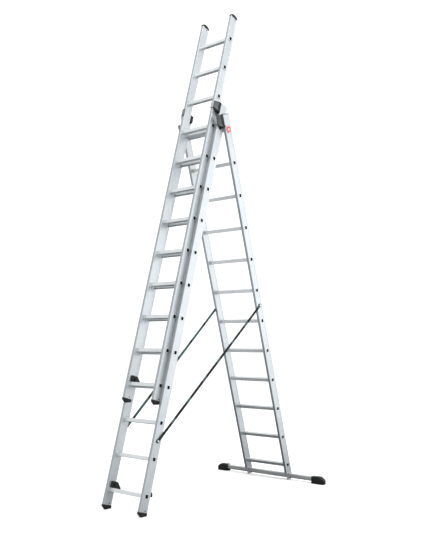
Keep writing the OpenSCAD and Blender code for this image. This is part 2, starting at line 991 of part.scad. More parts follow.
module rear_guide_left() {
    color(grey_plastic) in_rear() on_side(left) rear_guide();
}

module rear_guide_right() {
    color(grey_plastic) in_rear() on_side(right) rear_guide();
}

module rear_cap_left() {
    color(black_plastic) in_rear() on_side(left) flat_cap(rear_half_w, rear_head);
}

module rear_cap_right() {
    color(black_plastic) in_rear() on_side(right) flat_cap(rear_half_w, rear_head);
}

module rear_guide_screws() {
    color(steel)
        in_rear()
            for (side = sides, at = rear_guide_screws)
                on_side(side) flange_screw(rear_half_w, at);
}

module crossbar() {
    color(aluminium)
        translate([0, bar_y, 0])
            difference() {
                translate([-tube_half, 0, bar_z])
                    rotate([90, 0, 90])
                        linear_extrude(height = 2 * tube_half)
                            bar_profile();
                for (side = sides)
                    on_side(side) shoe_screw_hole();
            }
}

module crossbar_shoe_left() {
    color(black_plastic) translate([0, bar_y, 0]) on_side(left) shoe();
}

module crossbar_shoe_right() {
    color(black_plastic) translate([0, bar_y, 0]) on_side(right) shoe();
}

module crossbar_shoe_screws() {
    color(steel) translate([0, bar_y, 0]) for (side = sides) on_side(side) shoe_screw();
}

module crossbar_saddle_left() {
    color(aluminium) on_side(left) saddle_with_hole();
}

module crossbar_saddle_right() {
    color(aluminium) on_side(right) saddle_with_hole();
}

module saddle_with_hole() {
    difference() {
        saddle();
        in_rear() stile_rivet_hole(rear_half_w, 0, socket_bolt_z);
    }
}

module crossbar_saddle_bolts() {
    color(steel)
        for (side = sides)
            on_side(side) {
                saddle_bolt();
                in_rear() socket_bolt();
            }
}

module badge() {
    color(badge_red) in_rear() badge_disc();
}

module strap_bolts_rear() {
    color(steel)
        in_rear()
            for (side = sides)
                on_side(side) strap_bolt(rear_half_w, strap_rear_z);
}

module restraint_strap_left() {
    color(webbing) on_side(left) strap();
}

module restraint_strap_right() {
    color(webbing) on_side(right) strap();
}

front_stile_left();
front_stile_right();
front_rungs();
front_foot_left();
front_foot_right();
front_foot_rivets();
front_hook_left();
front_hook_right();
front_hook_rivets();
front_guide_left();
front_guide_right();
front_guide_screws();
hinge_bolt_left();
hinge_bolt_right();
hinge_spacers();
hinge_nuts();
strap_bolts_front();
sliding_stile_left();
sliding_stile_right();
sliding_rungs();
sliding_foot_left();
sliding_foot_right();
sliding_foot_rivets();
sliding_cap_left();
sliding_cap_right();
sliding_cap_rivets();
sliding_hook_left();
sliding_hook_right();
sliding_hook_rivets();
rear_stile_left();
rear_stile_right();
rear_rungs();
rear_guide_left();
rear_guide_right();
rear_guide_screws();
rear_cap_left();
rear_cap_right();
crossbar();
crossbar_shoe_left();
crossbar_shoe_right();
crossbar_shoe_screws();
crossbar_saddle_left();
crossbar_saddle_right();
crossbar_saddle_bolts();
badge();
strap_bolts_rear();
restraint_strap_left();
restraint_strap_right();
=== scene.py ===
"""Looks of a three-section aluminium combination ladder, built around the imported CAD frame.

Metres, in the CAD frame: +X along the rungs, +Y from the climbing side to the rear section, +Z up.
"""

import json
import math

import bmesh
import bpy
from mathutils import Matrix, Vector


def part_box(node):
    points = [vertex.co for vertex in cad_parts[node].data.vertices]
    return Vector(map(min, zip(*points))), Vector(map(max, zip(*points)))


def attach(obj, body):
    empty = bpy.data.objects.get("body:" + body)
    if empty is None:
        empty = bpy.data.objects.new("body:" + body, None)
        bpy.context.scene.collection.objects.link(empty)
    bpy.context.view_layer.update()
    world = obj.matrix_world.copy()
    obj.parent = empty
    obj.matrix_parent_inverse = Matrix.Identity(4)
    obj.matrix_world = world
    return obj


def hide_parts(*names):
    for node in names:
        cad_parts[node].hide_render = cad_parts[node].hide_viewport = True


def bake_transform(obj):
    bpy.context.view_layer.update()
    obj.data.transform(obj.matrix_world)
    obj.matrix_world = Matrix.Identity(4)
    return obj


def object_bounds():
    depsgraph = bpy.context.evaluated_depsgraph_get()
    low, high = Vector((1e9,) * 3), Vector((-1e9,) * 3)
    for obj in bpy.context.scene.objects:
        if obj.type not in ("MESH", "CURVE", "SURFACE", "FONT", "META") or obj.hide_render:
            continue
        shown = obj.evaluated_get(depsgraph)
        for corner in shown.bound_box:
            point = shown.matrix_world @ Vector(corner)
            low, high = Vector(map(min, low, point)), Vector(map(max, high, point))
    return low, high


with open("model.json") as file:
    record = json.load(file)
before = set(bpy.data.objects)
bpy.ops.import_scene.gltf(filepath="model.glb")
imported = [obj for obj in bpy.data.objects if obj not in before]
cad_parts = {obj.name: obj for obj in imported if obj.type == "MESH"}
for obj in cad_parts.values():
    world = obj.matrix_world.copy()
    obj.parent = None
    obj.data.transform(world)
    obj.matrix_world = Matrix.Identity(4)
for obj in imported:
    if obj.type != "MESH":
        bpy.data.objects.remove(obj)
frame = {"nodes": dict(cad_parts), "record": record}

cad_low, cad_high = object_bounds()

nodes = frame["nodes"]
record = frame["record"]
joints = {j["name"]: j for j in record["behaviour"]["joints"]}
slide_axis = Vector(joints["section_slide"]["axis"])
LEAN = math.atan2(slide_axis.y, slide_axis.z)

SIDES = {"left": -1.0, "right": 1.0}
RUNG_COUNT = 12
MM = 0.001


# ---------------------------------------------------------------- frames of the leaning sections


def section_frame(lean):
    """Axes of a leaning section: across, through its depth, and up along its stiles."""
    turn = Matrix.Rotation(-lean, 3, "X")
    return turn @ Vector((1, 0, 0)), turn @ Vector((0, 1, 0)), turn @ Vector((0, 0, 1))


FRONT_AXES = section_frame(LEAN)
REAR_AXES = section_frame(-LEAN)


def middle(node):
    low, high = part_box(node)
    return (low + high) / 2


# ---------------------------------------------------------------- materials


class Nodes:
    """Small helper that places and links shader nodes."""

    def __init__(self, name):
        self.material = bpy.data.materials.new(name)
        self.material.use_nodes = True
        self.tree = self.material.node_tree
        self.tree.nodes.clear()
        self.shader = self.tree.nodes.new("ShaderNodeBsdfPrincipled")
        self.out = self.tree.nodes.new("ShaderNodeOutputMaterial")
        self.link(self.shader.outputs[0], self.out.inputs[0])

    def link(self, a, b):
        self.tree.links.new(a, b)

    def set(self, **values):
        for key, value in values.items():
            self.shader.inputs[key.replace("_", " ")].default_value = value

    def coords(self, lean=0.0, scale=(1, 1, 1)):
        """Object coordinates, turned so that Z runs along a leaning section."""
        mapping = self.tree.nodes.new("ShaderNodeMapping")
        mapping.vector_type = "POINT"
        mapping.inputs["Rotation"].default_value = (lean, 0, 0)
        self.link(self.place(), mapping.inputs["Vector"])
        return self.vector_math("MULTIPLY", mapping.outputs[0], scale).outputs[0]

    def place(self):
        """Object coordinates as they are."""
        return self.tree.nodes.new("ShaderNodeTexCoord").outputs["Object"]

    def vector_math(self, operation, a, b=None):
        """A vector sum; a and b are sockets or plain vectors."""
        node = self.tree.nodes.new("ShaderNodeVectorMath")
        node.operation = operation
        for socket, value in zip(node.inputs, (a, b)):
            if value is None:
                continue
            if isinstance(value, (tuple, Vector)):
                socket.default_value = value
            else:
                self.link(value, socket)
        return node

    def dot(self, vector, axis):
        return self.vector_math("DOT_PRODUCT", vector, axis).outputs["Value"]

    def noise(self, vector, scale, detail=3.0, rough=0.55):
        node = self.tree.nodes.new("ShaderNodeTexNoise")
        node.inputs["Scale"].default_value = scale
        node.inputs["Detail"].default_value = detail
        node.inputs["Roughness"].default_value = rough
        self.link(vector, node.inputs["Vector"])
        return node.outputs["Fac"]

    def ramp(self, fac, stops):
        node = self.tree.nodes.new("ShaderNodeValToRGB")
        elements = node.color_ramp.elements
        while len(elements) < len(stops):
            elements.new(0.5)
        for element, (at, value) in zip(elements, stops):
            element.position = at
            element.color = (
                (value, value, value, 1)
                if isinstance(value, (int, float))
                else (*value, 1)
            )
        self.link(fac, node.inputs["Fac"])
        return node.outputs["Color"]

    def math(self, operation, a, b=None, clamp=False):
        node = self.tree.nodes.new("ShaderNodeMath")
        node.operation = operation
        node.use_clamp = clamp
        for socket, value in zip(node.inputs, (a, b)):
            if value is None:
                continue
            if isinstance(value, (int, float)):
                socket.default_value = value
            else:
                self.link(value, socket)
        return node.outputs[0]

    def mix(self, fac, a, b, blend="MIX"):
        node = self.tree.nodes.new("ShaderNodeMix")
        node.data_type = "RGBA"
        node.blend_type = blend
        for socket, value in zip((node.inputs[0], node.inputs[6], node.inputs[7]), (fac, a, b)):
            if isinstance(value, (int, float)):
                socket.default_value = value
            elif isinstance(value, tuple):
                socket.default_value = (*value, 1)
            else:
                self.link(value, socket)
        return node.outputs[2]

    def bump(self, height, strength, distance):
        node = self.tree.nodes.new("ShaderNodeBump")
        node.inputs["Strength"].default_value = strength
        node.inputs["Distance"].default_value = distance
        self.link(height, node.inputs["Height"])
        self.link(node.outputs[0], self.shader.inputs["Normal"])


def shaded(tone, share):
    """A colour made darker or lighter by a share, no brighter than white."""
    return tuple(min(1.0, v * share) for v in tone)


RUNG_BORE = 13.8 * MM  # half the inside width of a rung, with a hair to spare


def rung_rows(node, lean):
    """Depth of a section's rungs, height of the top one and their spacing, in section axes."""
    _, through, up = section_frame(lean)
    points = [v.co for v in nodes[node].data.vertices]
    depths = [p.dot(through) for p in points]
    heights = [p.dot(up) for p in points]
    half_rim = (max(depths) - min(depths)) / 2
    pitch = (max(heights) - min(heights) - 2 * half_rim) / (RUNG_COUNT - 1)
    return (max(depths) + min(depths)) / 2, max(heights) - half_rim, pitch


def bore_shade_mask(n, node, lean):
    """Where the painted shade inside the rungs goes: 1 on the walls inside the rungs of a section,
    0 outside them.
    """
    depth, height, pitch = rung_rows(node, lean)
    _, through, up = section_frame(lean)
    place = n.place()
    aside = n.math("ABSOLUTE", n.math("SUBTRACT", n.dot(place, through), depth))
    # distance along the stile to the nearest rung's middle
    turns = n.math("DIVIDE", n.math("SUBTRACT", n.dot(place, up), height), pitch)
    share = n.math("FRACT", n.math("ADD", turns, 0.5))
    off = n.math("MULTIPLY", n.math("ABSOLUTE", n.math("SUBTRACT", share, 0.5)), pitch)
    return n.math("LESS_THAN", n.math("MAXIMUM", aside, off), RUNG_BORE)


NARROW_SHADE = 0.66  # painted shade: tone of a stile's narrow faces, against its broad ones
BORE_SHADE = 0.10  # painted shade: tone inside the rungs, against their outside
SCUFF_SHADE = 0.55  # tone of the scuffs
SATIN = (0.30, 0.44)  # roughness of the smoothest and the dullest patches


def aluminium(name, tone, lean, grain, metallic=0.6, rungs=None, narrow=False):
    """Extruded aluminium: fine die lines along the profile, cloudy oxide and a few scuffs.

    grain is the stretch of the die lines: small along the profile, large across it. rungs names
    the node of a rung row, whose insides get painted shade. narrow paints shade on a stile's
    narrow faces. It tells them by the direction that they have at rest, so they grow lighter once
    a section has turned some 26 degrees from there."""
    n = Nodes(name)
    lines = n.noise(n.coords(lean, grain), 1.0, detail=4.0, rough=0.6)
    cloud = n.noise(n.coords(lean), 5.0, detail=3.0)
    scuff = n.noise(n.coords(lean, (60, 60, 25)), 1.0, detail=6.0, rough=0.7)
    colour = n.ramp(lines, [(0.3, shaded(tone, 0.87)), (0.7, shaded(tone, 1.05))])
    stain = n.ramp(cloud, [(0.35, 0.90), (0.65, 1.0)])
    colour = n.mix(1.0, colour, stain, "MULTIPLY")
    marks = n.ramp(scuff, [(0.60, 0.0), (0.72, 1.0)])
    colour = n.mix(n.math("MULTIPLY", marks, 0.10), colour, shaded(tone, SCUFF_SHADE))
    if rungs:
        # painted shade on the walls inside the rung tubes
        colour = n.mix(bore_shade_mask(n, rungs, lean), colour, shaded(tone, BORE_SHADE))
    if narrow:
        # painted shade: a stile's narrow faces are made darker than its broad ones
        normal = n.tree.nodes.new("ShaderNodeNewGeometry").outputs["True Normal"]
        facing = n.math("ABSOLUTE", n.dot(normal, section_frame(lean)[1]))
        narrow_painted_shade = n.mix(1.0, colour, (NARROW_SHADE,) * 3, "MULTIPLY")
        colour = n.mix(n.math("GREATER_THAN", facing, 0.9), colour, narrow_painted_shade)
    n.link(colour, n.shader.inputs["Base Color"])
    spread = n.math("ADD", n.math("MULTIPLY", lines, 0.5), n.math("MULTIPLY", cloud, 0.5))
    n.link(n.ramp(spread, [(0.3, SATIN[0]), (0.7, SATIN[1])]), n.shader.inputs["Roughness"])
    n.set(Metallic=metallic)
    n.bump(lines, 0.10, 0.0006)
    return n.material


PLASTIC_GLOSS = 0.2


def plastic(name, tone, rough=(0.48, 0.66), grain=900.0, scuffs=0.25):
    """Moulded plastic: fine texture, slight mottling, paler rubbed spots."""
    n = Nodes(name)
    place = n.coords()
    pores = n.noise(place, grain, detail=2.0)
    mottle = n.noise(place, 22.0, detail=4.0)
    rub = n.noise(place, 70.0, detail=6.0, rough=0.75)
    colour = n.ramp(mottle, [(0.3, shaded(tone, 0.75)), (0.7, shaded(tone, 1.25))])
    worn = tuple(min(1.0, v * 1.6 + 0.05) for v in tone)
    patch = n.ramp(rub, [(0.58, 0.0), (0.75, 1.0)])
    colour = n.mix(n.math("MULTIPLY", patch, scuffs), colour, worn)
    n.link(colour, n.shader.inputs["Base Color"])
    n.link(n.ramp(rub, [(0.3, rough[0]), (0.7, rough[1])]), n.shader.inputs["Roughness"])
    n.set(Specular_IOR_Level=PLASTIC_GLOSS)
    n.bump(pores, 0.22, 0.0004)
    return n.material


def zinc(name, tone):
    """Zinc-plated steel: spangled tone, brushed by handling."""
    n = Nodes(name)
    spangle = n.noise(n.coords(), 260.0, detail=3.0)
    cloud = n.noise(n.coords(), 40.0)
    colour = n.ramp(spangle, [(0.3, shaded(tone, 0.8)), (0.7, shaded(tone, 1.12))])
    n.link(colour, n.shader.inputs["Base Color"])
    n.link(n.ramp(cloud, [(0.3, 0.26), (0.7, 0.46)]), n.shader.inputs["Roughness"])
    n.set(Metallic=1.0)
    n.bump(spangle, 0.08, 0.0003)
    return n.material


ALONG = (900, 900, 6)  # die lines of a stile
ACROSS = (5, 700, 700)  # die lines of a rung or the crossbar

STILE_TONE = (0.55, 0.585, 0.61)
RUNG_TONE = (0.70, 0.73, 0.74)
BAR_TONE = (0.54, 0.555, 0.56)
BLACK_TONE = (0.014, 0.016, 0.015)
GREY_TONE = (0.10, 0.112, 0.115)
LIP_TONE = (0.36, 0.38, 0.39)
STEEL_TONE = (0.60, 0.61, 0.62)
# painted shade: a darker copy of the lip grey, for the left guides' lips
SHADED_LIP_TONE = (0.13, 0.135, 0.14)

front_stile = aluminium("stile_front_aluminium", STILE_TONE, LEAN, ALONG, narrow=True)
rear_stile = aluminium("stile_rear_aluminium", STILE_TONE, -LEAN, ALONG, narrow=True)
RUNG_METAL_AND_BORE_SHADE = {
    node: aluminium(node + "_aluminium", RUNG_TONE, lean, ACROSS, metallic=0.78, rungs=node)
    for node, lean in (("front_rungs", LEAN), ("sliding_rungs", LEAN), ("rear_rungs", -LEAN))
}
bar_metal = aluminium("crossbar_aluminium", BAR_TONE, 0.0, ACROSS)
saddle_metal = aluminium("saddle_aluminium", STILE_TONE, -LEAN, ALONG)
black = plastic("black_plastic", BLACK_TONE)
dim = plastic("grey_plastic", SHADED_LIP_TONE, scuffs=0.15)
pale = plastic("pale_plastic", LIP_TONE, scuffs=0.15)
steel = zinc("zinc_steel", STEEL_TONE)


def badge_material():
    """Plain red badge with a white ring and a white dot, slightly faded."""
    low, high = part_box("badge")
    centre = middle("badge")
    radius = (high.y - low.y) / 2
    n = Nodes("badge_enamel")
    offset = n.vector_math("SUBTRACT", n.place(), centre).outputs[0]
    flat = n.vector_math("MULTIPLY", offset, (0, 1, 1)).outputs[0]
    share = n.math("DIVIDE", n.vector_math("LENGTH", flat).outputs["Value"], radius)
    red, white = (0.60, 0.04, 0.035), (0.82, 0.80, 0.78)
    dot = [(0.0, white), (0.30, white), (0.33, red)]
    ring = [(0.84, red), (0.86, white), (0.90, white), (0.92, red)]
    rings = n.ramp(share, dot + ring)
    speckle = n.noise(n.coords(), 500.0, detail=3.0)
    faded = n.mix(n.ramp(speckle, [(0.35, 0.0), (0.8, 0.2)]), rings, (0.75, 0.35, 0.32))
    n.link(faded, n.shader.inputs["Base Color"])
    n.link(n.ramp(speckle, [(0.3, 0.22), (0.7, 0.4)]), n.shader.inputs["Roughness"])
    n.bump(speckle, 0.05, 0.0002)
    return n.material


badge = badge_material()


def dress(node, material):
    """Gives a CAD node its finished material."""
    mesh = nodes[node].data
    if not mesh.materials:
        mesh.materials.append(material)
    for i in range(len(mesh.materials)):
        mesh.materials[i] = material


for node in nodes:
    if "rivet" in node:
        dress(node, black)
    elif "screw" in node or "bolt" in node or "nut" in node:
        dress(node, steel)
    elif node.endswith("rungs"):
        dress(node, RUNG_METAL_AND_BORE_SHADE[node])
    elif "stile" in node:
        dress(node, rear_stile if node.startswith("rear") else front_stile)
    elif node == "crossbar":
        dress(node, bar_metal)
    elif "saddle" in node:
        dress(node, saddle_metal)
    elif node == "badge":
        dress(node, badge)
    else:
        dress(node, black)


# ---------------------------------------------------------------- moulded plastic pieces


# Rounding of each kind of piece
GUIDE_EDGE = 1.2 * MM
FOOT_EDGE = 2.4 * MM
HOOK_EDGE = 1.0 * MM
DOMED_CAP_EDGE = 2.2 * MM
FLAT_CAP_EDGE = 0.9 * MM
SHOE_EDGE = 3.0 * MM
SPACER_EDGE = 1.0 * MM

WELD = 0.001 * MM  # corners nearer than this are one
FLAT_ANGLE = math.radians(1)  # faces that meet flatter than this are one
BEVEL_ANGLE = math.radians(32)  # edges sharper than this are rounded
CREASE_ANGLE = math.radians(40)  # edges sharper than this still look creased


def moulded(node, body, edge, materials=None, pick=None, segments=2):
    """A copy of a CAD piece with moulded, rounded edges. pick chooses a material for each face."""
    mesh = nodes[node].data.copy()
    mesh.name = node + "_moulded"
    piece = bpy.data.objects.new(node + "_moulded", mesh)
    bpy.context.scene.collection.objects.link(piece)
    b = bmesh.new()
    b.from_mesh(mesh)
    bmesh.ops.remove_doubles(b, verts=b.verts, dist=WELD)
    bmesh.ops.dissolve_limit(b, angle_limit=FLAT_ANGLE, verts=b.verts, edges=b.edges)
    b.to_mesh(mesh)
    b.free()
    mesh.materials.clear()
    for material in materials or [black]:
        mesh.materials.append(material)
    if pick:
        for face in mesh.polygons:
            face.material_index = pick(face.center, face.normal)
    bevel = piece.modifiers.new("moulded_edges", "BEVEL")
    bevel.width = edge
    bevel.segments = segments
    bevel.limit_method = "ANGLE"
    bevel.angle_limit = BEVEL_ANGLE
    graph = bpy.context.evaluated_depsgraph_get()
    done = bpy.data.meshes.new_from_object(piece.evaluated_get(graph))
    piece.modifiers.clear()
    piece.data = done
    for face in done.polygons:
        face.use_smooth = True
    done.set_sharp_from_angle(angle=CREASE_ANGLE)
    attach(piece, body)
    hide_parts(node)


def guide_picker(side, axes):
    """Sorts a guide's faces: 2 for its lip and front, 1 for the ribbed slant, 0 for the rest."""
    across, through, up = axes
    outward = across * side

    def pick(centre, normal):
        out = normal.dot(outward)
        ahead = -normal.dot(through)
        if ahead > 0.9:
            return 2
        if out > 0.3 and ahead > 0.3:
            return 1
        return 0

    return pick


PANEL_FRAME = 5.5 * MM  # black border of the ribbed panel
PANEL_GLOSS = 0.3


def panel_material(name, node, axes, picker):
    """The ribbed slanting face: a mid grey panel inside a black border.

    The border follows the top, the bottom, which climbs towards the lip, and both ends."""
    _, through, up = axes
    corners = []  # depth and height of every corner of the panel
    mesh = nodes[node].data
    for face in mesh.polygons:
        if picker(face.center, face.normal) == 1:
            for index in face.vertices:
                point = mesh.vertices[index].co
                corners.append((point.dot(through), point.dot(up)))
    near, far = min(d for d, _ in corners), max(d for d, _ in corners)
    top = max(h for _, h in corners)
    low_near = min(h for d, h in corners if d < near + 0.5 * MM)
    low_far = min(h for d, h in corners if d > far - 0.5 * MM)
    slope = (low_far - low_near) / (far - near)
    n = Nodes(name)
    place = n.place()
    depth, height = n.dot(place, through), n.dot(place, up)
    from_near = n.math("SUBTRACT", depth, near)
    from_far = n.math("SUBTRACT", far, depth)
    bottom = n.math("ADD", n.math("MULTIPLY", from_near, slope), low_near)
    from_bottom = n.math("SUBTRACT", height, bottom)
    from_top = n.math("SUBTRACT", top, height)
    ends = n.math("MINIMUM", from_near, from_far)
    inside = n.math("MINIMUM", ends, n.math("MINIMUM", from_bottom, from_top))
    panel = n.math("GREATER_THAN", inside, PANEL_FRAME)
    mottle = n.noise(n.coords(), 60.0, detail=5.0, rough=0.7)
    grey_patch = n.ramp(mottle, [(0.3, shaded(GREY_TONE, 0.8)), (0.7, shaded(GREY_TONE, 1.2))])
    black_patch = n.ramp(mottle, [(0.3, shaded(BLACK_TONE, 0.7)), (0.7, shaded(BLACK_TONE, 1.4))])
    n.link(n.mix(panel, black_patch, grey_patch), n.shader.inputs["Base Color"])
    n.link(n.ramp(mottle, [(0.3, 0.42), (0.7, 0.60)]), n.shader.inputs["Roughness"])
    n.set(Specular_IOR_Level=PANEL_GLOSS)
    n.bump(n.noise(n.coords(), 900.0, detail=2.0), 0.2, 0.0004)
    return n.material


for name, side in SIDES.items():
    # the left guides' lips are a darker grey than the right ones': painted shade
    lip = pale if side > 0 else dim
    for section, body, axes in (("front", "front", FRONT_AXES), ("rear", "rear", REAR_AXES)):
        node = f"{section}_guide_{name}"
        picker = guide_picker(side, axes)
        panel = panel_material(f"{node}_panel", node, axes, picker)
        moulded(node, body, GUIDE_EDGE, [black, panel, lip], picker)
    for section in ("front", "sliding"):
        moulded(f"{section}_foot_{name}", section, FOOT_EDGE, segments=3)
        moulded(f"{section}_hook_{name}", section, HOOK_EDGE)
    moulded(f"sliding_cap_{name}", "sliding", DOMED_CAP_EDGE, segments=3)
    moulded(f"crossbar_shoe_{name}", "rear", SHOE_EDGE, segments=3)
    moulded(f"rear_cap_{name}", "rear", FLAT_CAP_EDGE)
moulded("hinge_spacers", "front", SPACER_EDGE)


# ---------------------------------------------------------------- restraint straps

STRAP_WIDTH = 25 * MM
STRAP_THICK = 2.0 * MM
EYE_RADIUS = 16.5 * MM
EYE_HOLE = 7.5 * MM
EYE_DEPTH = 4.6 * MM
LAP = 62 * MM  # webbing turned back and sewn behind each eye
STEP = 4 * MM  # spacing of the tape's cross-sections
TWILL_PITCH, WEFT_PITCH = 2.2 * MM, 1.1 * MM


def webbing_material(name, ground, patch, runs):
    """Woven polyester tape: ribbed weave, stretches of a second colour, frayed tone.

    The first UV coordinate runs across the tape, the second along it, in metres."""
    n = Nodes(name)
    uv = n.tree.nodes.new("ShaderNodeUVMap")
    uv.uv_map = "tape"
    split = n.tree.nodes.new("ShaderNodeSeparateXYZ")
    n.link(uv.outputs[0], split.inputs[0])
    across, along = split.outputs[0], split.outputs[1]
    total = sum(runs)
    stops, at = [], 0.0
    colours = (ground, patch)
    for i, run in enumerate(runs):
        stops.append((at / total, colours[i % 2]))
        at += run
    ramp = n.tree.nodes.new("ShaderNodeValToRGB")
    ramp.color_ramp.interpolation = "CONSTANT"
    elements = ramp.color_ramp.elements
    while len(elements) < len(stops):
        elements.new(0.5)
    for element, (position, value) in zip(elements, stops):
        element.position = position
        element.color = (*value, 1)
    cycle = n.math("FRACT", n.math("DIVIDE", along, total))
    n.link(cycle, ramp.inputs["Fac"])
    # twill: a herringbone of diagonal ribs, crossed by fine weft
    slant = n.math("ADD", along, n.math("ABSOLUTE", across))
    twill = n.math("SINE", n.math("MULTIPLY", slant, 2 * math.pi / TWILL_PITCH))
    weft = n.math("SINE", n.math("MULTIPLY", along, 2 * math.pi / WEFT_PITCH))
    weave = n.math("ADD", n.math("MULTIPLY", twill, 0.5), n.math("MULTIPLY", weft, 0.25))
    shade = n.ramp(n.math("ADD", weave, 0.5), [(0.0, 0.62), (1.0, 1.0)])
    fuzz = n.noise(n.coords(), 900.0, detail=3.0)
    tone = n.mix(1.0, ramp.outputs["Color"], shade, "MULTIPLY")
    tone = n.mix(n.ramp(fuzz, [(0.4, 0.0), (0.8, 0.08)]), tone, (0.16, 0.19, 0.19))
    n.link(tone, n.shader.inputs["Base Color"])
    n.link(n.ramp(fuzz, [(0.3, 0.72), (0.7, 0.92)]), n.shader.inputs["Roughness"])
    n.set(Sheen_Weight=0.02, Sheen_Roughness=0.5, Specular_IOR_Level=0.15)
    n.bump(weave, 0.5, 0.0004)
    return n.material


# Lengths in metres of the stretches of each colour, in turn
OUTER_RUNS = (0.19, 0.055, 0.17, 0.06)
INNER_RUNS = (0.18, 0.05, 0.20, 0.045)
BLACK_YARN = (0.010, 0.012, 0.012)
TEAL_YARN = (0.065, 0.12, 0.125)
outer_tape = webbing_material("webbing_outer", BLACK_YARN, TEAL_YARN, OUTER_RUNS)
inner_tape = webbing_material("webbing_inner", TEAL_YARN, BLACK_YARN, INNER_RUNS)
THREAD_TONE = (0.42, 0.45, 0.45)
EYE_TONE = (0.022, 0.026, 0.025)
thread = plastic("strap_thread", THREAD_TONE, rough=(0.7, 0.85), grain=2500.0, scuffs=0.3)
eye_plastic = plastic("strap_eye_plastic", EYE_TONE, rough=(0.35, 0.5))


def tape_ring(centre, across, normal, half, top, bottom):
    """Corners of one cross-section of the tape, each with its distance from the middle line.

    The outer face is slightly crowned and both edges are rounded."""
    inset = 0.7 * MM
    crown = top * 1.04
    outline = (
        (-half, 0.0),
        (-half + inset, top),
        (-half / 3, crown),
        (half / 3, crown),
        (half - inset, top),
        (half, 0.0),
        (half - inset, bottom),
        (-half + inset, bottom),
    )
    return [(centre + across * u + normal * w, u) for u, w in outline]


OUTER_SIDES = 5  # sides of a cross-section that belong to the tape's outer face


def strap(name, side):
    """Webbing tape between the two eyes of one side, its outer face turned outwards."""
    front_bolt = strap_end("strap_bolts_front", side)
    rear_bolt = strap_end("strap_bolts_rear", side)
    run = (rear_bolt - front_bolt).normalized()
    length = (rear_bolt - front_bolt).length
    outward = Vector((side, 0, 0))
    normal = (outward - run * outward.dot(run)).normalized()
    across = run.cross(normal).normalized()
    b = bmesh.new()
    uv = b.loops.layers.uv.new("tape")
    count = max(8, round(length / STEP))
    rows = []
    for i in range(count + 1):
        along = i * length / count
        from_end = min(along, length - along)
        # the tape starts behind the eye, narrows to it and lies double where it is sewn back
        if from_end < EYE_RADIUS * 0.75:
            continue
        ease = min(1.0, max(0.0, (from_end - LAP) / (3 * MM)))
        thick = STRAP_THICK * (0.5 + 0.45 * (1 - ease))
        width = STRAP_WIDTH / 2 * (1 - 0.12 * max(0.0, 1 - from_end / (1.6 * EYE_RADIUS)))
        # slightly uneven edges
        wave = 0.12 * MM * math.sin(along / 0.021) + 0.10 * MM * math.sin(along / 0.047 + 1.3)
        centre = front_bolt + run * along
        ring = tape_ring(centre, across, normal, width + wave, thick, -STRAP_THICK * 0.5)
        rows.append((along, [(b.verts.new(p), u) for p, u in ring]))
    for (v0, r0), (v1, r1) in zip(rows, rows[1:]):
        for k in range(len(r0)):
            nxt = (k + 1) % len(r0)
            face = b.faces.new((r0[k][0], r0[nxt][0], r1[nxt][0], r1[k][0]))
            face.smooth = True
            face.material_index = 0 if k < OUTER_SIDES else 1
            places = ((r0[k][1], v0), (r0[nxt][1], v0), (r1[nxt][1], v1), (r1[k][1], v1))
            for loop, place in zip(face.loops, places):
                loop[uv].uv = place
    for row in (rows[0], rows[-1]):
        b.faces.new([v for v, _ in row[1]])
    bmesh.ops.recalc_face_normals(b, faces=b.faces)
    mesh = bpy.data.meshes.new(f"strap_tape_{name}")
    b.to_mesh(mesh)
    b.free()
    mesh.materials.append(outer_tape)
    mesh.materials.append(inner_tape)
    tape = bpy.data.objects.new(f"strap_tape_{name}", mesh)
    bpy.context.scene.collection.objects.link(tape)
    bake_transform(tape)
    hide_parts(f"restraint_strap_{name}")
    for body, bolt, direction in (("front", front_bolt, run), ("rear", rear_bolt, -run)):
        strap_eye(f"strap_eye_{body}_{name}", body, bolt, normal)
        stitches(f"strap_stitches_{body}_{name}", body, bolt, direction, across, normal)


EYE_INSET = 3.8 * MM  # from a bolt head's outer face in to the middle of the eye


def strap_end(node, side):
    """Middle of the eye on one side's shoulder bolt."""
    low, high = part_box(node)
    x = high.x - EYE_INSET if side > 0 else low.x + EYE_INSET
    centre = (low + high) / 2
    return Vector((x, centre.y, centre.z))


def strap_eye(name, body, centre, normal):
    """A ring of moulded plastic with a rolled rim, clamped over the end of the tape."""
    b = bmesh.new()
    rings, turns = 14, 48
    basis = normal.to_track_quat("Z", "Y").to_matrix()
    mid = (EYE_RADIUS + EYE_HOLE) / 2
    half = (EYE_RADIUS - EYE_HOLE) / 2
    grid = []
    for i in range(turns):
        a = 2 * math.pi * i / turns
        row = []
        for k in range(rings):
            t = 2 * math.pi * k / rings
            # squared-off oval section, a little thicker at its outer rim
            c, s = math.cos(t), math.sin(t)
            radial = mid + half * math.copysign(abs(c) ** 0.6, c)
            height = EYE_DEPTH / 2 * math.copysign(abs(s) ** 0.7, s) * (0.86 + 0.14 * (c > 0))
            spot = Vector((radial * math.cos(a), radial * math.sin(a), height))
            row.append(b.verts.new(centre + basis @ spot))
        grid.append(row)
    for i in range(turns):
        for k in range(rings):
            n, m = (i + 1) % turns, (k + 1) % rings
            face = b.faces.new((grid[i][k], grid[n][k], grid[n][m], grid[i][m]))
            face.smooth = True
    bmesh.ops.recalc_face_normals(b, faces=b.faces)
    mesh = bpy.data.meshes.new(name)
    b.to_mesh(mesh)
    b.free()
    mesh.materials.append(eye_plastic)
    eye = bpy.data.objects.new(name, mesh)
    bpy.context.scene.collection.objects.link(eye)
    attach(eye, body)


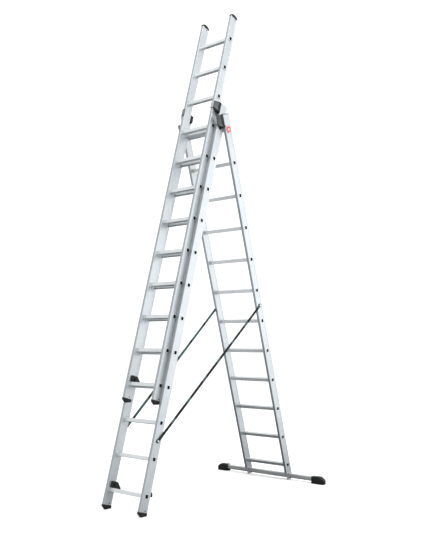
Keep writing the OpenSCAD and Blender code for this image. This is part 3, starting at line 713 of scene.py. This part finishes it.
def stitches(name, body, bolt, run, across, normal):
    """Rows of thread that sew the turned-back tape, as short raised stitches in a box."""
    b = bmesh.new()
    pitch, long, thick = 3.4 * MM, 2.5 * MM, 0.5 * MM
    lift = STRAP_THICK * 0.98
    first, last = EYE_RADIUS + 6 * MM, LAP - 4 * MM
    edge = STRAP_WIDTH / 2 - 3 * MM

    def stitch(start, direction):
        centre = bolt + run * start[0] + across * start[1] + normal * lift
        cross = direction.cross(normal).normalized()
        corners = []
        for f, w in ((-0.5, 0.0), (-0.3, 1.0), (0.3, 1.0), (0.5, 0.0)):
            for s in (-1, 1):
                spot = direction * (f * long) + cross * (s * thick * 0.45) + normal * (w * thick)
                corners.append(b.verts.new(centre + spot))
        for i in range(0, 6, 2):
            face = b.faces.new((corners[i], corners[i + 1], corners[i + 3], corners[i + 2]))
            face.smooth = True
        b.faces.new((corners[0], corners[2], corners[4], corners[6]))
        b.faces.new((corners[1], corners[7], corners[5], corners[3]))
        b.faces.new((corners[0], corners[6], corners[7], corners[1]))

    steps = int((last - first) / pitch)
    for i in range(steps + 1):
        at = first + i * pitch
        for s in (-1, 1):
            stitch((at, s * edge), run)
    rows = int(2 * edge / pitch)
    for i in range(1, rows):
        u = -edge + i * 2 * edge / rows
        stitch((first, u), across)
        stitch((last, u), across)
    bmesh.ops.recalc_face_normals(b, faces=b.faces)
    mesh = bpy.data.meshes.new(name)
    b.to_mesh(mesh)
    b.free()
    mesh.materials.append(thread)
    piece = bpy.data.objects.new(name, mesh)
    bpy.context.scene.collection.objects.link(piece)
    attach(piece, body)


for name, side in SIDES.items():
    strap(name, side)


# ---------------------------------------------------------------- floor, light and camera


FLOOR_HALF = 60.0
FLOOR_GAP = 0.5 * MM  # below the lowest point, so that the feet don't touch it

# The floor as the light and the metal meet it: painted shade makes it dimmer than it looks, and
# nearly black in a strip behind the ladder to the left
FLOOR_GLOW = (0.64, 0.64, 0.65)
FLOOR_SHADE = (0.05, 0.05, 0.052)
SHADE_START = Vector((-1.0, 0.7, 0.0))
SHADE_END = Vector((-4.2, 3.5, 0.0))
SHADE_INNER, SHADE_OUTER = 1.1, 3.3  # distances where the shade is full and where it ends


def floor_piece():
    """A floor that looks plain and pale, but carries painted shade in what the metal mirrors:
    dimmer overall and darker in a strip.
    """
    half = FLOOR_HALF
    corners = [(-half, -half, 0), (half, -half, 0), (half, half, 0), (-half, half, 0)]
    mesh = bpy.data.meshes.new("floor")
    mesh.from_pydata(corners, [], [(0, 1, 2, 3)])
    piece = bpy.data.objects.new("floor", mesh)
    bpy.context.scene.collection.objects.link(piece)
    piece.location.z = cad_low[2] - FLOOR_GAP
    n = Nodes("floor_paper")
    fleck = n.noise(n.coords(), 3.0, detail=2.0)
    pale = n.ramp(fleck, [(0.3, 0.93), (0.7, 0.96)])
    # distance to the line the shade lies along
    run = (SHADE_END - SHADE_START).normalized()
    away = n.vector_math("SUBTRACT", n.place(), SHADE_START).outputs[0]
    along = n.math("MAXIMUM", n.dot(away, run), 0.0)
    along = n.math("MINIMUM", along, (SHADE_END - SHADE_START).length)
    nearest = n.vector_math("SCALE", run)
    n.link(along, nearest.inputs["Scale"])
    aside = n.vector_math("SUBTRACT", away, nearest.outputs[0]).outputs[0]
    fade = n.tree.nodes.new("ShaderNodeMapRange")
    fade.interpolation_type = "SMOOTHSTEP"
    fade.inputs["From Min"].default_value = SHADE_INNER
    fade.inputs["From Max"].default_value = SHADE_OUTER
    n.link(n.vector_math("LENGTH", aside).outputs["Value"], fade.inputs["Value"])
    glow = n.mix(fade.outputs["Result"], FLOOR_SHADE, FLOOR_GLOW)
    # white when looked at; painted shade makes it dimmer for the light and the reflections that it
    # gives back
    sight = n.tree.nodes.new("ShaderNodeLightPath")
    n.link(n.mix(sight.outputs["Is Camera Ray"], glow, pale), n.shader.inputs["Base Color"])
    n.set(Roughness=0.95)
    mesh.materials.append(n.material)


floor_piece()


def area_light(name, place, target, size, power):
    data = bpy.data.lights.new(name, "AREA")
    data.shape = "RECTANGLE"
    data.size, data.size_y = size
    data.energy = power
    lamp = bpy.data.objects.new(name, data)
    bpy.context.scene.collection.objects.link(lamp)
    lamp.location = place
    lamp.rotation_euler = (Vector(target) - Vector(place)).to_track_quat("-Z", "Y").to_euler()


AIM = (0, 0, 1.9)
area_light("key", (8.5, -1.0, 7.0), AIM, size=(5, 5), power=300)
area_light("top", (1.0, -2.0, 9.0), AIM, size=(6, 5), power=300)
area_light("side", (6.0, 7.2, 2.7), AIM, size=(8, 5), power=118)

# The studio is brightest behind the ladder and dimmest in front of its climbing side.
BRIGHT_SIDE = (0.1, 0.99, 0.05)
SKY_LOW, SKY_HIGH = 0.95, 1.35


def studio_world():
    world = bpy.data.worlds.new("studio")
    world.use_nodes = True
    tree = world.node_tree
    background = tree.nodes["Background"]
    place = tree.nodes.new("ShaderNodeTexCoord")
    facing = tree.nodes.new("ShaderNodeVectorMath")
    facing.operation = "DOT_PRODUCT"
    facing.inputs[1].default_value = BRIGHT_SIDE
    spread = tree.nodes.new("ShaderNodeMapRange")
    spread.inputs["From Min"].default_value = -1.0
    spread.inputs["From Max"].default_value = 1.0
    spread.inputs["To Min"].default_value = SKY_LOW
    spread.inputs["To Max"].default_value = SKY_HIGH
    tree.links.new(place.outputs["Generated"], facing.inputs[0])
    tree.links.new(facing.outputs["Value"], spread.inputs["Value"])
    tree.links.new(spread.outputs["Result"], background.inputs["Strength"])
    background.inputs["Color"].default_value = (1, 1, 1, 1)
    bpy.context.scene.world = world


studio_world()
bpy.context.scene.view_settings.view_transform = "Standard"

# The camera stands to the right of the climbing side, at a third of the ladder's height.
CAMERA_PLACE = Vector((4.1162, -4.7289, 1.3363))
CAMERA_YAW = -0.7008
CAMERA_PITCH = 0.0028
CAMERA_ROLL = 0.0019
CAMERA_LENS = 48.674
CAMERA_RISE = 0.1253  # shift of the lens, so that the camera itself can stay almost level
SENSOR_WIDTH = 36.0
FARTHEST = 200.0
data = bpy.data.cameras.new("camera")
data.sensor_width = SENSOR_WIDTH
data.lens = CAMERA_LENS
data.shift_y = CAMERA_RISE
data.clip_end = FARTHEST
camera = bpy.data.objects.new("camera", data)
bpy.context.scene.collection.objects.link(camera)
look = Vector(
    (
        math.sin(CAMERA_YAW) * math.cos(CAMERA_PITCH),
        math.cos(CAMERA_YAW) * math.cos(CAMERA_PITCH),
        math.sin(CAMERA_PITCH),
    )
)
camera.location = CAMERA_PLACE
level = look.to_track_quat("-Z", "Y").to_matrix()
camera.rotation_euler = (level @ Matrix.Rotation(-CAMERA_ROLL, 3, "Z")).to_euler()
bpy.context.scene.camera = camera
